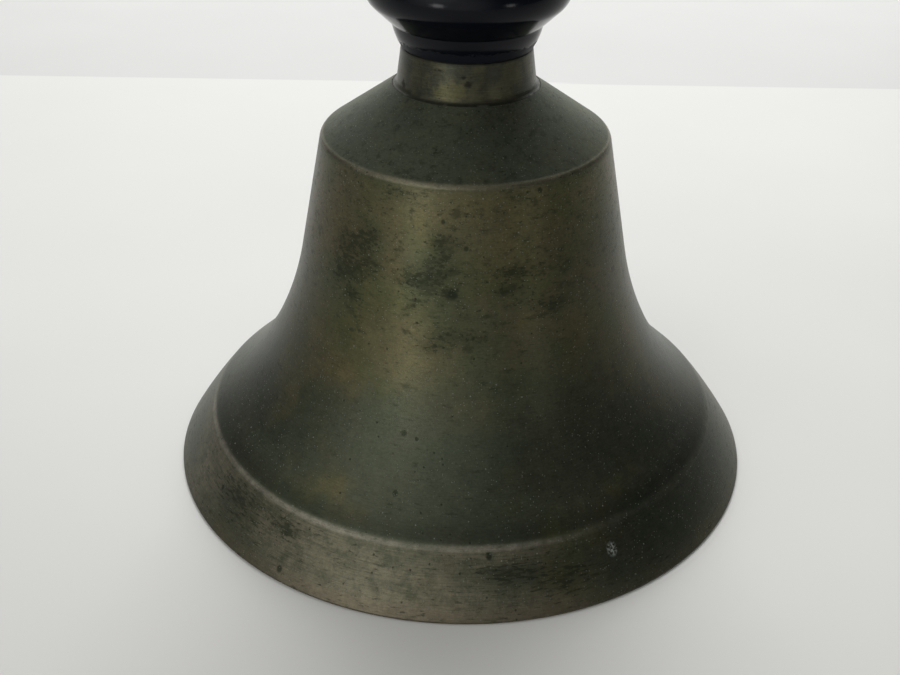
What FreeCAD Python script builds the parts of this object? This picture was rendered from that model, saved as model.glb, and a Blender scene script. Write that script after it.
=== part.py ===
import FreeCAD, Part
import math
import os
import Sketcher

# Handbell: a cast bronze bell with a turned brass collar and an ebonised wooden handle, held together by
# one steel rod that runs from inside the crown to a domed nut on top of the handle. The clapper swings
# on a pin across a steel stirrup, and the stirrup turns round the rod's lower end.
#
# Frame: origin on the bell's axis in the plane of its rim, +Z up the handle. Lengths are millimetres.
# A "level" is a height above the part's own datum, a "radius" is a distance from the bell's axis.

SIZES = {
    # Bell casting, outside, from the rim up.
    "mouth_radius": 70.4,
    "lip_curve": 117.0,
    "ridge_radius": 61.32,
    "ridge_level": 12.75,
    "ridge_round": 4.0,
    "flare_radius": 56.15,
    "flare_level": 17.45,
    "flare_curve": 50.2,
    "waist_radius": 45.55,
    "waist_level": 31.11,
    "waist_curve": 82.3,
    "side_radius": 37.51,
    "side_level": 53.82,
    "shoulder_radius": 32.19,
    "shoulder_level": 81.0,
    "shoulder_round": 1.8,
    "crown_radius": 16.4,
    "crown_level": 92.0,
    "seat_depth": 0.8,
    # Bell casting, inside, from the crown down.
    "rod_hole_radius": 3.1,
    "roof_radius": 17.0,
    "roof_level": 87.0,
    "inner_shoulder_radius": 29.65,
    "inner_shoulder_level": 78.37,
    "inner_shoulder_round": 4.0,
    "inner_side_radius": 34.57,
    "inner_side_level": 53.24,
    "inner_waist_curve": 85.5,
    "inner_waist_radius": 42.54,
    "inner_waist_level": 29.52,
    "inner_flare_curve": 54.2,
    "inner_flare_radius": 53.05,
    "inner_flare_level": 14.05,
    "bow_radius": 57.4,
    "bow_level": 9.35,
    "rim_width": 5.8,
    "rim_outer_round": 0.5,
    "rim_inner_round": 0.6,
    # Brass collar, standing in the crown's seat.
    "collar_base_radius": 16.1,
    "collar_foot_curve": 1.0,
    "collar_waist_radius": 15.15,
    "collar_waist_level": 1.75,
    "collar_top_radius": 14.15,
    "collar_top_level": 100.5,
    "collar_bore_radius": 11.6,
    "collar_edge_break": 0.25,
    # Leather washer under the handle's tenon.
    "leather_radius": 11.3,
    "leather_hole_radius": 3.4,
    "leather_thickness": 1.2,
    # Handle, levels counted from the top of the collar.
    "tenon_radius": 11.5,
    "handle_bore_radius": 3.3,
    "foot_radius": 14.1,
    "foot_curve": 12.2,
    "band_radius": 16.1,
    "band_level": 4.95,
    "bead_low_radius": 20.25,
    "bead_low_level": 8.8,
    "bead_curve": 5.2,
    "bead_radius": 21.9,
    "bead_level": 12.6,
    "bead_top_radius": 16.9,
    "bead_top_level": 18.6,
    "bead_top_curve": 6.1,
    "cove_radius": 14.9,
    "fillet_level": 19.2,
    "cove_level": 20.6,
    "cove_curve": 17.27,
    "neck_radius": 10.6,
    "neck_level": 32.0,
    "grip_hollow_curve": 70.0,
    "grip_low_radius": 12.68,
    "grip_low_level": 48.93,
    "grip_curve": 110.0,
    "grip_high_radius": 13.54,
    "grip_high_level": 98.4,
    "upper_hollow_curve": 60.0,
    "upper_neck_radius": 12.23,
    "upper_neck_level": 110.9,
    "upper_cove_curve": 8.1,
    "ring_radius": 15.0,
    "ring_low_level": 117.0,
    "ring_high_level": 118.3,
    "knob_foot_radius": 12.6,
    "knob_foot_level": 120.1,
    "knob_curve": 12.9,
    "knob_top_radius": 10.5,
    "handle_length": 142.2,
    # Tie rod with its forged head, and the nuts and washers on it.
    "rod_radius": 3.0,
    "rod_head_radius": 5.2,
    "rod_head_level": 73.9,
    "rod_head_height": 3.0,
    "rod_head_edge": 0.6,
    "rod_top_gap": 0.5,
    "rod_tip_edge": 0.6,
    "thread_play": 0.05,
    "crown_washer_radius": 9.0,
    "crown_washer_thickness": 1.2,
    "washer_play": 0.2,
    "spring_washer_radius": 5.2,
    "spring_washer_thickness": 1.4,
    "spring_washer_slot": 1.2,
    "crown_nut_half_flats": 5.0,
    "crown_nut_height": 5.0,
    "nut_corner": 1.0,
    "nut_chamfer": 0.7,
    "top_washer_radius": 8.6,
    "top_washer_edge": 0.7,
    "top_washer_thickness": 1.4,
    "cap_nut_half_flats": 5.5,
    "cap_nut_hex_height": 4.6,
    "cap_nut_dome_radius": 4.9,
    "cap_nut_neck_height": 0.8,
    "cap_nut_dome_root": 1.0,
    "cap_nut_bore_depth": 6.4,
    # Clapper hanger: a bent strap on the rod and a riveted pin. Levels counted from the pin's axis.
    "pin_level": 68.0,
    "strap_width": 10.0,
    "strap_half_width": 5.0,
    "strap_thickness": 2.0,
    "strap_inner": 5.9,
    "strap_top_level": 11.1,
    "strap_foot_level": 4.9,
    "strap_outer_bend": 2.6,
    "strap_inner_bend": 0.6,
    "strap_hole_radius": 3.08,
    "strap_foot_round": 4.7,
    "pin_radius": 2.0,
    "pin_hole_radius": 2.02,
    "rivet_head_radius": 3.3,
    "rivet_head_height": 1.3,
    "rivet_edge": 0.7,
    # Clapper, levels counted from the pin's axis.
    "eye_radius": 4.5,
    "eye_reach": 4.5,
    "eye_bore_radius": 2.07,
    "eye_edge": 0.5,
    "pin_washer_radius": 4.2,
    "pin_washer_thickness": 1.0,
    "shank_top_radius": 2.9,
    "shank_low_radius": 2.3,
    "shank_start_level": 3.4,
    "ball_radius": 12.0,
    "ball_drop": 52.5,
    "ball_flat_radius": 4.0,
    "ball_flat_level": 11.314,
    "ball_tenon_radius": 2.0,
    "ball_bore_play": 0.02,
    "peen_radius": 2.9,
    "peen_height": 0.9,
    "peen_round": 0.5,
    # How far a cutter runs past the faces that it cuts through.
    "cutter_overrun": 2.0,
}

doc = FreeCAD.newDocument("handbell")
sheet = doc.addObject("Spreadsheet::Sheet", "Sizes")
for row, (name, size) in enumerate(SIZES.items(), start=1):
    sheet.set("A%d" % row, name)
    sheet.set("B%d" % row, str(size))
    sheet.setAlias("B%d" % row, name)
doc.recompute()

made = []


def number(formula):
    """The value of a sum of sizes, such as "crown_level - seat_depth"."""
    total = 0.0
    sign = 1.0
    for word in formula.split():
        if word in ("+", "-"):
            sign = 1.0 if word == "+" else -1.0
        elif word in SIZES:
            total += sign * SIZES[word]
        else:
            total += sign * float(word)
    return total


def bound(formula):
    """The same sum as an expression on the sheet."""
    return " ".join("Sizes." + word if word in SIZES else word for word in formula.split())


def new_body(label, level=None):
    """A body whose datum stands at the given level on the bell's axis."""
    body = doc.addObject("PartDesign::Body", label)
    body.Label = label
    if level:
        body.setExpression(".Placement.Base.z", bound(level))
    made.append(body)
    return body


def new_sketch(body, name, role):
    """An empty sketch on the body's own XY_Plane, XZ_Plane or YZ_Plane."""
    sketch = body.newObject("Sketcher::SketchObject", body.Label + "_" + name)
    plane = [item for item in body.Origin.OriginFeatures if item.Role == role][0]
    sketch.AttachmentSupport = (plane, "")
    sketch.MapMode = "FlatFace"
    return sketch


def arc_between(start, end, radius, bulges):
    """The shorter arc from start to end, walked anticlockwise if it bulges and clockwise if it hollows."""
    along = end - start
    side = FreeCAD.Vector(-along.y, along.x, 0).normalize()
    reach = math.sqrt(radius ** 2 - along.Length ** 2 / 4)
    centre = (start + end) / 2 + side * (reach if bulges else -reach)
    first, last = (start, end) if bulges else (end, start)
    circle = Part.Circle(centre, FreeCAD.Vector(0, 0, 1), radius)
    angles = [math.atan2(point.y - centre.y, point.x - centre.x) for point in (first, last)]
    return Part.ArcOfCircle(circle, angles[0], angles[1])


def tie_to_sheet(sketch, kind, name, formula, *target):
    """Add a dimension that follows the sheet."""
    index = sketch.addConstraint(Sketcher.Constraint(kind, *target, number(formula)))
    sketch.renameConstraint(index, name)
    sketch.setExpression("Constraints." + name, bound(formula))


def outline(body, name, role, corners):
    """A closed sketch, walked anticlockwise through its corners.

    A corner is (across, up), or (across, up, "round" or "hollow", radius) where the edge that leaves it
    is an arc. Lengths are sums of sizes.
    """
    sketch = new_sketch(body, name, role)
    points = [FreeCAD.Vector(number(corner[0]), number(corner[1]), 0) for corner in corners]
    ends = []
    for index, corner in enumerate(corners):
        start = points[index]
        end = points[(index + 1) % len(points)]
        if len(corner) == 2:
            edge = sketch.addGeometry(Part.LineSegment(start, end), False)
            ends.append((edge, 1, 2))
        else:
            bulges = corner[2] == "round"
            edge = sketch.addGeometry(arc_between(start, end, number(corner[3]), bulges), False)
            ends.append((edge, 1, 2) if bulges else (edge, 2, 1))
    for index, corner in enumerate(corners):
        edge, first, last = ends[index]
        following = ends[(index + 1) % len(ends)]
        sketch.addConstraint(Sketcher.Constraint("Coincident", edge, last, following[0], following[1]))
        if abs(points[index].x) < 1e-9:
            sketch.addConstraint(Sketcher.Constraint("PointOnObject", edge, first, -2))
        else:
            tie_to_sheet(sketch, "DistanceX", "across_%d" % index, corner[0], -1, 1, edge, first)
        if abs(points[index].y) < 1e-9:
            sketch.addConstraint(Sketcher.Constraint("PointOnObject", edge, first, -1))
        else:
            tie_to_sheet(sketch, "DistanceY", "up_%d" % index, corner[1], -1, 1, edge, first)
        if len(corner) > 2:
            tie_to_sheet(sketch, "Radius", "curve_%d" % index, corner[3], edge)
    return sketch


def circle(body, name, role, radius, up=None):
    """A sketch of one circle, centred on the body's datum or straight above it."""
    sketch = new_sketch(body, name, role)
    centre = FreeCAD.Vector(0, number(up) if up else 0, 0)
    edge = sketch.addGeometry(Part.Circle(centre, FreeCAD.Vector(0, 0, 1), number(radius)), False)
    sketch.addConstraint(Sketcher.Constraint("PointOnObject", edge, 3, -2))
    if up:
        tie_to_sheet(sketch, "DistanceY", "up", up, -1, 1, edge, 3)
    else:
        sketch.addConstraint(Sketcher.Constraint("PointOnObject", edge, 3, -1))
    tie_to_sheet(sketch, "Radius", "size", radius, edge)
    return sketch


def turn(body, sketch, kind="Revolution", axis="V_Axis"):
    """Spin a sketch a full turn, to add material (Revolution) or to cut a groove (Groove)."""
    feature = body.newObject("PartDesign::" + kind, sketch.Name + "_turned")
    feature.Profile = sketch
    feature.ReferenceAxis = (sketch, [axis])
    feature.Angle = 360
    return settle(body, feature, kind == "Revolution")


def extrude(body, sketch, length, kind="Pad"):
    """Pad or pocket a sketch, half the length to each side of its plane."""
    feature = body.newObject("PartDesign::" + kind, sketch.Name + "_" + kind.lower())
    feature.Profile = sketch
    feature.SideType = "Symmetric"
    feature.setExpression("Length", bound(length))
    return settle(body, feature, kind == "Pad")


def settle(body, feature, adds):
    """Recompute, and stop if the feature did not change the volume the way it should."""
    base = feature.BaseFeature
    before = base.Shape.Volume if base else 0.0
    doc.recompute()
    gained = feature.Shape.Volume - before
    if (gained > 0) != adds or abs(gained) < 1e-3:
        raise RuntimeError("%s in %s changed the volume by %.4f" % (feature.Name, body.Label, gained))
    return feature


def break_edges(body, kind, name, size, wanted):
    """Fillet or Chamfer every edge of the body that the function wanted picks."""
    base = body.Tip
    names = ["Edge%d" % (at + 1) for at, edge in enumerate(base.Shape.Edges) if wanted(edge)]
    if not names:
        raise RuntimeError("%s in %s found no edge" % (name, body.Label))
    feature = body.newObject("PartDesign::" + kind, body.Label + "_" + name)
    feature.Base = (base, names)
    feature.setExpression("Radius" if kind == "Fillet" else "Size", bound(size))
    doc.recompute()
    if "Invalid" in feature.State or "Error" in feature.State:
        raise RuntimeError("%s in %s can't be made" % (name, body.Label))


def ring_at(radius, level):
    """Picks the level circle of that radius."""
    def wanted(edge):
        curve = edge.Curve
        if not isinstance(curve, Part.Circle) or abs(abs(curve.Axis.z) - 1) > 1e-6:
            return False
        return abs(curve.Radius - number(radius)) < 1e-3 and abs(curve.Center.z - number(level)) < 1e-3
    return wanted


def ring_along_y(radius, reach):
    """Picks the two circles round the Y axis with that radius, that far from the middle."""
    def wanted(edge):
        curve = edge.Curve
        if not isinstance(curve, Part.Circle) or abs(abs(curve.Axis.y) - 1) > 1e-6:
            return False
        far = abs(abs(curve.Center.y) - number(reach))
        return abs(curve.Radius - number(radius)) < 1e-3 and far < 1e-3
    return wanted


def straight_along(direction, **distances):
    """Picks the straight edges along one axis that lie that far from the datum on the other axes."""
    def wanted(edge):
        if not isinstance(edge.Curve, Part.Line):
            return False
        if abs(abs(getattr(edge.Curve.Direction, direction)) - 1) > 1e-6:
            return False
        middle = edge.CenterOfMass
        return all(
            abs(abs(getattr(middle, axis)) - abs(number(distance))) < 1e-3
            for axis, distance in distances.items())
    return wanted


def make_bell_body():
    """The casting: a wall of varying thickness, thickest at the sound bow, turned with its crown."""
    body = new_body("bell_body")
    section = outline(body, "wall", "XZ_Plane", [
        ("mouth_radius - rim_width", "0"),
        ("mouth_radius", "0", "round", "lip_curve"),
        ("ridge_radius", "ridge_level"),
        ("flare_radius", "flare_level", "hollow", "flare_curve"),
        ("waist_radius", "waist_level", "hollow", "waist_curve"),
        ("side_radius", "side_level"),
        ("shoulder_radius", "shoulder_level"),
        ("crown_radius", "crown_level"),
        ("crown_radius", "crown_level - seat_depth"),
        ("0", "crown_level - seat_depth"),
        ("0", "roof_level"),
        ("roof_radius", "roof_level"),
        ("inner_shoulder_radius", "inner_shoulder_level"),
        ("inner_side_radius", "inner_side_level", "round", "inner_waist_curve"),
        ("inner_waist_radius", "inner_waist_level", "round", "inner_flare_curve"),
        ("inner_flare_radius", "inner_flare_level"),
        ("bow_radius", "bow_level"),
    ])
    turn(body, section)
    extrude(body, circle(body, "rod_hole", "XY_Plane", "rod_hole_radius"),
            "crown_level + crown_level + cutter_overrun", "Pocket")
    rounds = [
        ("ridge_rounding", "ridge_round", "ridge_radius", "ridge_level"),
        ("shoulder_rounding", "shoulder_round", "shoulder_radius", "shoulder_level"),
        ("rim_outer_rounding", "rim_outer_round", "mouth_radius", "0"),
        ("rim_inner_rounding", "rim_inner_round", "mouth_radius - rim_width", "0"),
        ("inner_shoulder_rounding", "inner_shoulder_round", "inner_shoulder_radius", "inner_shoulder_level"),
    ]
    for name, size, radius, level in rounds:
        break_edges(body, "Fillet", name, size, ring_at(radius, level))


def make_collar():
    """The turned brass ferrule: a gentle cone with a small cove at its foot, bored for the tenon."""
    body = new_body("collar", "crown_level - seat_depth")
    height = "collar_top_level - crown_level + seat_depth"
    section = outline(body, "section", "XZ_Plane", [
        ("collar_bore_radius", "0"),
        ("collar_base_radius", "0"),
        ("collar_base_radius", "seat_depth", "hollow", "collar_foot_curve"),
        ("collar_waist_radius", "collar_waist_level"),
        ("collar_top_radius", height),
        ("collar_bore_radius", height),
    ])
    turn(body, section)
    break_edges(body, "Chamfer", "top_edge", "collar_edge_break", ring_at("collar_top_radius", height))


def make_leather_washer():
    """The leather disc between the crown and the end of the tenon."""
    body = new_body("leather_washer", "crown_level - seat_depth")
    turn(body, outline(body, "section", "XZ_Plane", [
        ("leather_hole_radius", "0"),
        ("leather_radius", "0"),
        ("leather_radius", "leather_thickness"),
        ("leather_hole_radius", "leather_thickness"),
    ]))


def make_handle():
    """One turned piece of hardwood: tenon, band, bead, neck, grip, ring and knob, bored right through."""
    body = new_body("handle", "collar_top_level")
    tenon_end = "crown_level - seat_depth + leather_thickness - collar_top_level"
    turn(body, outline(body, "section", "XZ_Plane", [
        ("handle_bore_radius", tenon_end),
        ("tenon_radius", tenon_end),
        ("tenon_radius", "0"),
        ("foot_radius", "0", "round", "foot_curve"),
        ("band_radius", "band_level"),
        ("bead_low_radius", "bead_low_level", "round", "bead_curve"),
        ("bead_radius", "bead_level", "round", "bead_top_curve"),
        ("bead_top_radius", "bead_top_level"),
        ("cove_radius", "fillet_level"),
        ("cove_radius", "cove_level", "hollow", "cove_curve"),
        ("neck_radius", "neck_level", "hollow", "grip_hollow_curve"),
        ("grip_low_radius", "grip_low_level", "round", "grip_curve"),
        ("grip_high_radius", "grip_high_level", "hollow", "upper_hollow_curve"),
        ("upper_neck_radius", "upper_neck_level", "hollow", "upper_cove_curve"),
        ("ring_radius", "ring_low_level"),
        ("ring_radius", "ring_high_level"),
        ("knob_foot_radius", "knob_foot_level", "round", "knob_curve"),
        ("knob_top_radius", "handle_length"),
        ("handle_bore_radius", "handle_length"),
    ]))


def make_tie_rod():
    """The steel rod: a forged button head inside the bell and a long shaft up through the handle."""
    body = new_body("tie_rod", "rod_head_level")
    tip = "collar_top_level + handle_length + top_washer_thickness + cap_nut_bore_depth - rod_top_gap"
    tip += " - rod_head_level"
    turn(body, outline(body, "section", "XZ_Plane", [
        ("0", "0"),
        ("rod_head_radius", "0"),
        ("rod_head_radius", "rod_head_height"),
        ("rod_radius", "rod_head_height"),
        ("rod_radius", tip),
        ("0", tip),
    ]))
    break_edges(body, "Chamfer", "head_edge", "rod_head_edge", ring_at("rod_head_radius", "0"))
    break_edges(body, "Chamfer", "tip_edge", "rod_tip_edge", ring_at("rod_radius", tip))


def make_crown_washer():
    """The flat steel washer under the crown."""
    body = new_body("crown_washer", "roof_level - crown_washer_thickness")
    turn(body, outline(body, "section", "XZ_Plane", [
        ("rod_radius + washer_play", "0"),
        ("crown_washer_radius", "0"),
        ("crown_washer_radius", "crown_washer_thickness"),
        ("rod_radius + washer_play", "crown_washer_thickness"),
    ]))


def make_spring_washer():
    """The split washer that keeps the crown nut tight."""
    body = new_body("spring_washer", "roof_level - crown_washer_thickness - spring_washer_thickness")
    turn(body, outline(body, "section", "XZ_Plane", [
        ("rod_radius + thread_play", "0"),
        ("spring_washer_radius", "0"),
        ("spring_washer_radius", "spring_washer_thickness"),
        ("rod_radius + thread_play", "spring_washer_thickness"),
    ]))
    split = outline(body, "split", "XZ_Plane", [
        ("rod_radius - cutter_overrun", "0 - cutter_overrun"),
        ("spring_washer_radius + cutter_overrun", "0 - cutter_overrun"),
        ("spring_washer_radius + cutter_overrun", "spring_washer_thickness + cutter_overrun"),
        ("rod_radius - cutter_overrun", "spring_washer_thickness + cutter_overrun"),
    ])
    extrude(body, split, "spring_washer_slot", "Pocket")


def hexagon(body, half_flats, height):
    """A hexagonal prism standing on the body's datum."""
    prism = body.newObject("PartDesign::AdditivePrism", body.Label + "_hexagon")
    prism.Polygon = 6
    prism.setExpression("Circumradius", bound(half_flats) + " / cos(30)")
    prism.setExpression("Height", bound(height))
    doc.recompute()


def make_crown_nut():
    """The steel nut that clamps the crown from inside, its lower corners turned away."""
    level = "roof_level - crown_washer_thickness - spring_washer_thickness - crown_nut_height"
    body = new_body("crown_nut", level)
    hexagon(body, "crown_nut_half_flats", "crown_nut_height")
    extrude(body, circle(body, "thread", "XY_Plane", "rod_radius + thread_play"),
            "crown_nut_height + crown_nut_height + cutter_overrun", "Pocket")
    turn(body, outline(body, "corners", "XZ_Plane", [
        ("crown_nut_half_flats", "0"),
        ("crown_nut_half_flats + nut_corner", "0"),
        ("crown_nut_half_flats + nut_corner", "nut_chamfer"),
    ]), "Groove")


def make_top_washer():
    """The brass washer on the knob, coned on its upper side."""
    body = new_body("top_washer", "collar_top_level + handle_length")
    turn(body, outline(body, "section", "XZ_Plane", [
        ("rod_radius + washer_play", "0"),
        ("top_washer_radius", "0"),
        ("top_washer_radius", "top_washer_edge"),
        ("cap_nut_half_flats + nut_corner", "top_washer_thickness"),
        ("rod_radius + washer_play", "top_washer_thickness"),
    ]))


def make_cap_nut():
    """The brass acorn nut: a hexagon, a short neck and a dome over a blind thread."""
    body = new_body("cap_nut", "collar_top_level + handle_length + top_washer_thickness")
    hexagon(body, "cap_nut_half_flats", "cap_nut_hex_height")
    dome_foot = "cap_nut_hex_height + cap_nut_neck_height"
    turn(body, outline(body, "dome", "XZ_Plane", [
        ("0", "cap_nut_hex_height - cap_nut_dome_root"),
        ("cap_nut_dome_radius", "cap_nut_hex_height - cap_nut_dome_root"),
        ("cap_nut_dome_radius", dome_foot, "round", "cap_nut_dome_radius"),
        ("0", dome_foot + " + cap_nut_dome_radius"),
    ]))
    turn(body, outline(body, "thread", "XZ_Plane", [
        ("0", "0 - cutter_overrun"),
        ("rod_radius + thread_play", "0 - cutter_overrun"),
        ("rod_radius + thread_play", "cap_nut_bore_depth"),
        ("0", "cap_nut_bore_depth"),
    ]), "Groove")
    turn(body, outline(body, "corners", "XZ_Plane", [
        ("cap_nut_half_flats", "cap_nut_hex_height"),
        ("cap_nut_half_flats + nut_corner", "cap_nut_hex_height - nut_chamfer"),
        ("cap_nut_half_flats + nut_corner", "cap_nut_hex_height"),
    ]), "Groove")


def make_clapper_stirrup():
    """The bent steel strap: its web turns on the rod above the head, and its two ears hold the pin."""
    body = new_body("clapper_stirrup", "pin_level")
    outer = "strap_inner + strap_thickness"
    outer_left = "0 - strap_inner - strap_thickness"
    foot = "0 - strap_foot_level"
    web = "strap_top_level - strap_thickness"
    extrude(body, outline(body, "bend", "YZ_Plane", [
        ("strap_inner", foot),
        (outer, foot),
        (outer, "strap_top_level"),
        (outer_left, "strap_top_level"),
        (outer_left, foot),
        ("0 - strap_inner", foot),
        ("0 - strap_inner", web),
        ("strap_inner", web),
    ]), "strap_width")
    break_edges(body, "Fillet", "outer_bends", "strap_outer_bend",
                straight_along("x", y=outer, z="strap_top_level"))
    break_edges(body, "Fillet", "inner_bends", "strap_inner_bend",
                straight_along("x", y="strap_inner", z=web))
    break_edges(body, "Fillet", "ear_ends", "strap_foot_round",
                straight_along("y", x="strap_half_width", z=foot))
    extrude(body, circle(body, "rod_hole", "XY_Plane", "strap_hole_radius"),
            "strap_top_level + strap_top_level + cutter_overrun", "Pocket")
    extrude(body, circle(body, "pin_holes", "XZ_Plane", "pin_hole_radius"),
            outer + " + " + outer + " + cutter_overrun", "Pocket")


def make_hanger_pin():
    """The riveted cross pin that the clapper swings on."""
    body = new_body("hanger_pin", "pin_level")
    ear = "strap_inner + strap_thickness"
    ear_left = "0 - strap_inner - strap_thickness"
    turn(body, outline(body, "section", "YZ_Plane", [
        (ear_left + " - rivet_head_height", "0"),
        (ear + " + rivet_head_height", "0"),
        (ear + " + rivet_head_height", "rivet_head_radius"),
        (ear, "rivet_head_radius"),
        (ear, "pin_radius"),
        (ear_left, "pin_radius"),
        (ear_left, "rivet_head_radius"),
        (ear_left + " - rivet_head_height", "rivet_head_radius"),
    ]), axis="H_Axis")
    break_edges(body, "Fillet", "head_edges", "rivet_edge",
                ring_along_y("rivet_head_radius", ear + " + rivet_head_height"))


def make_clapper_shank():
    """The forged shank: a cross barrel for the pin, a tapered rod, and a peened tenon through the ball."""
    body = new_body("clapper_shank", "pin_level")
    ball_top = "0 - ball_drop + ball_flat_level"
    ball_foot = "0 - ball_drop - ball_flat_level"
    extrude(body, circle(body, "eye", "XZ_Plane", "eye_radius"), "eye_reach + eye_reach")
    turn(body, outline(body, "rod", "XZ_Plane", [
        ("0", ball_foot + " - peen_height"),
        ("peen_radius", ball_foot + " - peen_height"),
        ("peen_radius", ball_foot),
        ("ball_tenon_radius", ball_foot),
        ("ball_tenon_radius", ball_top),
        ("shank_low_radius", ball_top),
        ("shank_top_radius", "0 - shank_start_level"),
        ("0", "0 - shank_start_level"),
    ]))
    extrude(body, circle(body, "eye_bore", "XZ_Plane", "eye_bore_radius"),
            "eye_reach + eye_reach + cutter_overrun", "Pocket")
    break_edges(body, "Chamfer", "eye_edges", "eye_edge", ring_along_y("eye_radius", "eye_reach"))
    break_edges(body, "Fillet", "peen_edge", "peen_round",
                ring_at("peen_radius", ball_foot + " - peen_height"))


def make_clapper_ball():
    """The turned ball, drilled through and faced flat where the shank enters and leaves."""
    body = new_body("clapper_ball", "pin_level - ball_drop")
    bore = "ball_tenon_radius + ball_bore_play"
    turn(body, outline(body, "section", "XZ_Plane", [
        (bore, "0 - ball_flat_level"),
        ("ball_flat_radius", "0 - ball_flat_level", "round", "ball_radius"),
        ("ball_radius", "0", "round", "ball_radius"),
        ("ball_flat_radius", "ball_flat_level"),
        (bore, "ball_flat_level"),
    ]))


def cylinder_along_y(name, radius, length, start):
    """A plain cylinder round the pin's axis."""
    item = doc.addObject("Part::Cylinder", name)
    upright_to_y = FreeCAD.Rotation(FreeCAD.Vector(1, 0, 0), -90)
    item.Placement = FreeCAD.Placement(FreeCAD.Vector(0, 0, 0), upright_to_y)
    item.setExpression("Radius", bound(radius))
    item.setExpression("Height", bound(length))
    item.setExpression(".Placement.Base.y", bound(start))
    item.setExpression(".Placement.Base.z", bound("pin_level"))
    return item


def make_pin_washers():
    """A leather washer at each end of the clapper's barrel, which keeps it from rattling in the ears."""
    rings = []
    starts = {"front": "0 - eye_reach - pin_washer_thickness", "back": "eye_reach"}
    for side, start in starts.items():
        ring = doc.addObject("Part::Cut", "pin_washer_" + side)
        ring.Base = cylinder_along_y(
            "washer_disc_" + side, "pin_washer_radius", "pin_washer_thickness", start)
        ring.Tool = cylinder_along_y(
            "washer_hole_" + side, "eye_bore_radius", "pin_washer_thickness", start)
        rings.append(ring)
    pair = doc.addObject("Part::Compound", "pin_washers")
    pair.Label = "pin_washers"
    pair.Links = rings
    made.append(pair)


def check_and_export():
    """Stop on any failed object or bad shape, then write one STEP file per sub-part."""
    doc.recompute()
    for item in doc.Objects:
        if "Invalid" in item.State or "Error" in item.State:
            raise RuntimeError("%s failed: %s" % (item.Name, item.State))
    for item in made:
        if item.Shape.isNull() or not item.Shape.isValid():
            raise RuntimeError("%s has a bad shape" % item.Label)
    os.makedirs("parts", exist_ok=True)
    for item in made:
        item.Shape.exportStep("parts/" + item.Label + ".step")
        box = item.Shape.BoundBox
        print("%-16s solids %d  volume %9.1f  z %7.2f to %7.2f" % (
            item.Label, len(item.Shape.Solids), item.Shape.Volume, box.ZMin, box.ZMax))


make_bell_body()
make_collar()
make_leather_washer()
make_handle()
make_tie_rod()
make_crown_washer()
make_spring_washer()
make_crown_nut()
make_top_washer()
make_cap_nut()
make_clapper_stirrup()
make_hanger_pin()
make_clapper_shank()
make_clapper_ball()
make_pin_washers()
check_and_export()
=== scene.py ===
import math

import bmesh
import bpy
import numpy as np
from mathutils import Matrix, Vector


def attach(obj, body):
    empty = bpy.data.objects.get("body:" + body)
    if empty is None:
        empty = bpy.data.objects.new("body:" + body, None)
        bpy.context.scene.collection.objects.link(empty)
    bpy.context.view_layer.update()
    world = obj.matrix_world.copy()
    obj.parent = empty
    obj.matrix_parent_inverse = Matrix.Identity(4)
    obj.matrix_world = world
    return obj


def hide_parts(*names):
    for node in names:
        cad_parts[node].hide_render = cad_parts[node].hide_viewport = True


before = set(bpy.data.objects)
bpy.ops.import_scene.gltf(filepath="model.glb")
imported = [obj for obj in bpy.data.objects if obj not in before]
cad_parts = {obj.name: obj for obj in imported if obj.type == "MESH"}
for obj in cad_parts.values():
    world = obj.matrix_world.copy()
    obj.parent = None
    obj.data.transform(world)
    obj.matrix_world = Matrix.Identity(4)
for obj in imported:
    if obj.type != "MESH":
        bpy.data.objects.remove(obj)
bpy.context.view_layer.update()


# ---------------------------------------------------------------------------
# The bell: one bronze casting, turned outside on a lathe, with a soft ridge above its lip and a
# conical shoulder. Years of handling left a dark olive and brown patina, deep green stains,
# fine level turning marks and a scatter of pale dust and small pits. Inside it is left as cast.
# ---------------------------------------------------------------------------

MM = 0.001
BELL_STEPS = 288
SHARP_EDGE = math.radians(28)
ON_AXIS = 1e-7
WELD = 1e-6

# (radius, level) in millimetres, and a third number bends the stretch that follows:
# above zero it swells, below zero it is hollow.
BELL_OUTLINE = (
    (69.50, 0.0, 0.5),
    (69.925, 0.765, 117.0),
    (61.51, 12.51, 4.0),
    (61.10, 12.95),
    (56.15, 17.45, -50.2),
    (45.55, 31.11, -82.3),
    (37.51, 53.82),
    (32.33, 80.28, 1.8),
    (31.59, 81.42),
    (16.16, 92.05),
    (16.16, 91.2),
    (3.10, 91.2),
    (3.10, 87.0),
    (17.0, 87.0),
    (28.29, 79.30, -4.0),
    (29.97, 76.76),
    (34.57, 53.24, 85.5),
    (42.54, 29.52, 54.2),
    (53.05, 14.05),
    (57.40, 9.35),
    (64.42, 0.23, 0.6),
    (64.90, 0.0),
)


def outline(corners, spacing=1.2):
    """Points along a closed outline. Straight stretches and arcs alike are divided every spacing."""
    points = []
    for corner, following in zip(corners, corners[1:] + corners[:1]):
        start, end = Vector(corner[:2]), Vector(following[:2])
        run = end - start
        bend = corner[2] if len(corner) > 2 else 0
        count = max(1, round(run.length / spacing))
        if not bend:
            points += [start + run * i / count for i in range(count)]
            continue
        turn = 2 * math.asin(run.length / 2 / abs(bend))
        count = max(count, 2, math.ceil(turn / math.radians(4)))
        left = Vector((-run.y, run.x)).normalized()
        centre = (start + end) / 2 + left * math.copysign(abs(bend) * math.cos(turn / 2), bend)
        for i in range(count):
            swing = Matrix.Rotation(math.copysign(turn * i / count, bend), 2)
            points.append(centre + swing @ (start - centre))
    return points


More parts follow.
